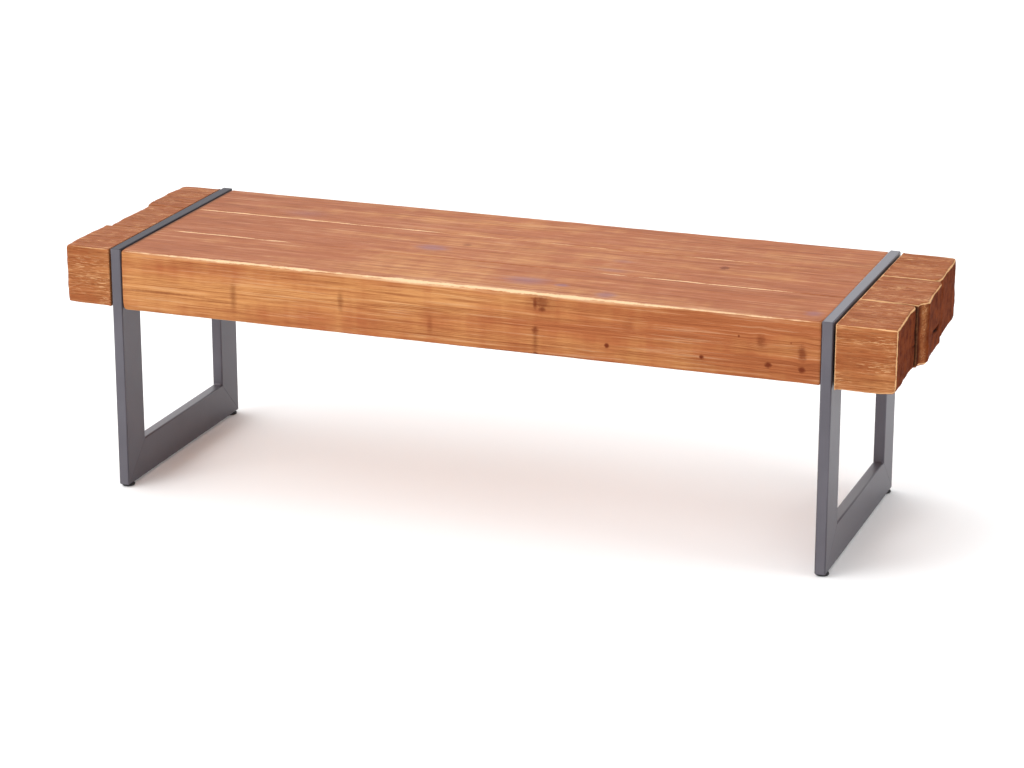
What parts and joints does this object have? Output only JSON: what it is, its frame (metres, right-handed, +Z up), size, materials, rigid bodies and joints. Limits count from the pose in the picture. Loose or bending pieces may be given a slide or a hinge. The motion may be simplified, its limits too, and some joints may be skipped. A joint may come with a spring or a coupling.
{
  "type": "bench",
  "caption": "Backless slab bench: thick stained timbers held between closed frames of rectangular steel tube, with rough-hewn overhanging ends and screw-in levelling glides.",
  "frame": {"origin": "on the floor, under the middle of the bench's overall box", "axes": "+X along the seat to the right as seen from the front, +Y from the front to the back, +Z up"},
  "size_m": [1.541, 0.4724, 0.45],
  "materials": {
    "seat_timber": "satin orange-brown stain, worn pale along the edges",
    "end_timber": "rough-hewn and brushed, matt orange-brown stain with pale worn edges",
    "frame_paint": "satin grey powder coat",
    "zinc_steel": "bright zinc plating",
    "dowel_beech": "raw",
    "glide_plastic": "matt black"
  },
  "bodies": {
    "bench": {"front_beam": "seat_timber", "centre_beam": "seat_timber", "rear_beam": "seat_timber", "left_front_block": "end_timber", "left_centre_block": "end_timber", "left_rear_block": "end_timber", "right_front_block": "end_timber", "right_centre_block": "end_timber", "right_rear_block": "end_timber", "left_front_leg": "frame_paint", "left_rear_leg": "frame_paint", "left_top_bar": "frame_paint", "left_floor_bar": "frame_paint", "right_front_leg": "frame_paint", "right_rear_leg": "frame_paint", "right_top_bar": "frame_paint", "right_floor_bar": "frame_paint", "left_frame_studs": "zinc_steel", "left_frame_washers": "zinc_steel", "left_frame_nuts": "zinc_steel", "right_frame_studs": "zinc_steel", "right_frame_washers": "zinc_steel", "right_frame_nuts": "zinc_steel", "front_seam_dowels": "dowel_beech", "rear_seam_dowels": "dowel_beech", "glide_inserts": "zinc_steel"},
    "left_front_glide": {"left_front_glide_pad": "glide_plastic", "left_front_glide_stud": "zinc_steel"},
    "left_rear_glide": {"left_rear_glide_pad": "glide_plastic", "left_rear_glide_stud": "zinc_steel"},
    "right_front_glide": {"right_front_glide_pad": "glide_plastic", "right_front_glide_stud": "zinc_steel"},
    "right_rear_glide": {"right_rear_glide_pad": "glide_plastic", "right_rear_glide_stud": "zinc_steel"}
  },
  "joints": [
    {"name": "left_front_glide_screw", "type": "slide", "parent": "bench", "child": "left_front_glide", "axis": [0, 0, -1], "range_m": [0, 0.008]},
    {"name": "left_rear_glide_screw", "type": "slide", "parent": "bench", "child": "left_rear_glide", "axis": [0, 0, -1], "range_m": [0, 0.008]},
    {"name": "right_front_glide_screw", "type": "slide", "parent": "bench", "child": "right_front_glide", "axis": [0, 0, -1], "range_m": [0, 0.008]},
    {"name": "right_rear_glide_screw", "type": "slide", "parent": "bench", "child": "right_rear_glide", "axis": [0, 0, -1], "range_m": [0, 0.008]}
  ]
}
